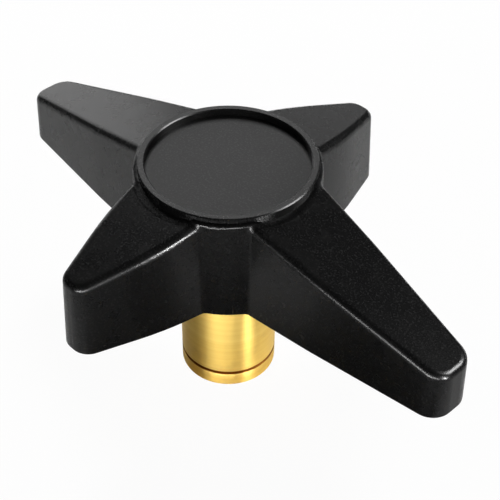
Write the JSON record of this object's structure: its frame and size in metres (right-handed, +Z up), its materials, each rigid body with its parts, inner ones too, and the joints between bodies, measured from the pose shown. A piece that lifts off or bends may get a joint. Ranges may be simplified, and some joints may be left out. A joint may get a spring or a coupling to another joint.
{
  "type": "star knob",
  "caption": "Clamping knob with two long and two short tapered arms, a raised dished boss and a long turned brass bush, threaded blind from its lower end.",
  "frame": {"origin": "on the bush axis, at its lower face, the lowest point of the part", "axes": "+Z up along the bush towards the boss, +X along one long arm, +Y along one short arm"},
  "size_m": [0.1672, 0.1144, 0.0769],
  "materials": {
    "knob_body": "black moulded plastic, fine grain, soft sheen",
    "brass_bush": "fine turned"
  },
  "bodies": {
    "root": {"knob_body": "knob_body", "brass_bush": "brass_bush"}
  },
  "joints": []
}
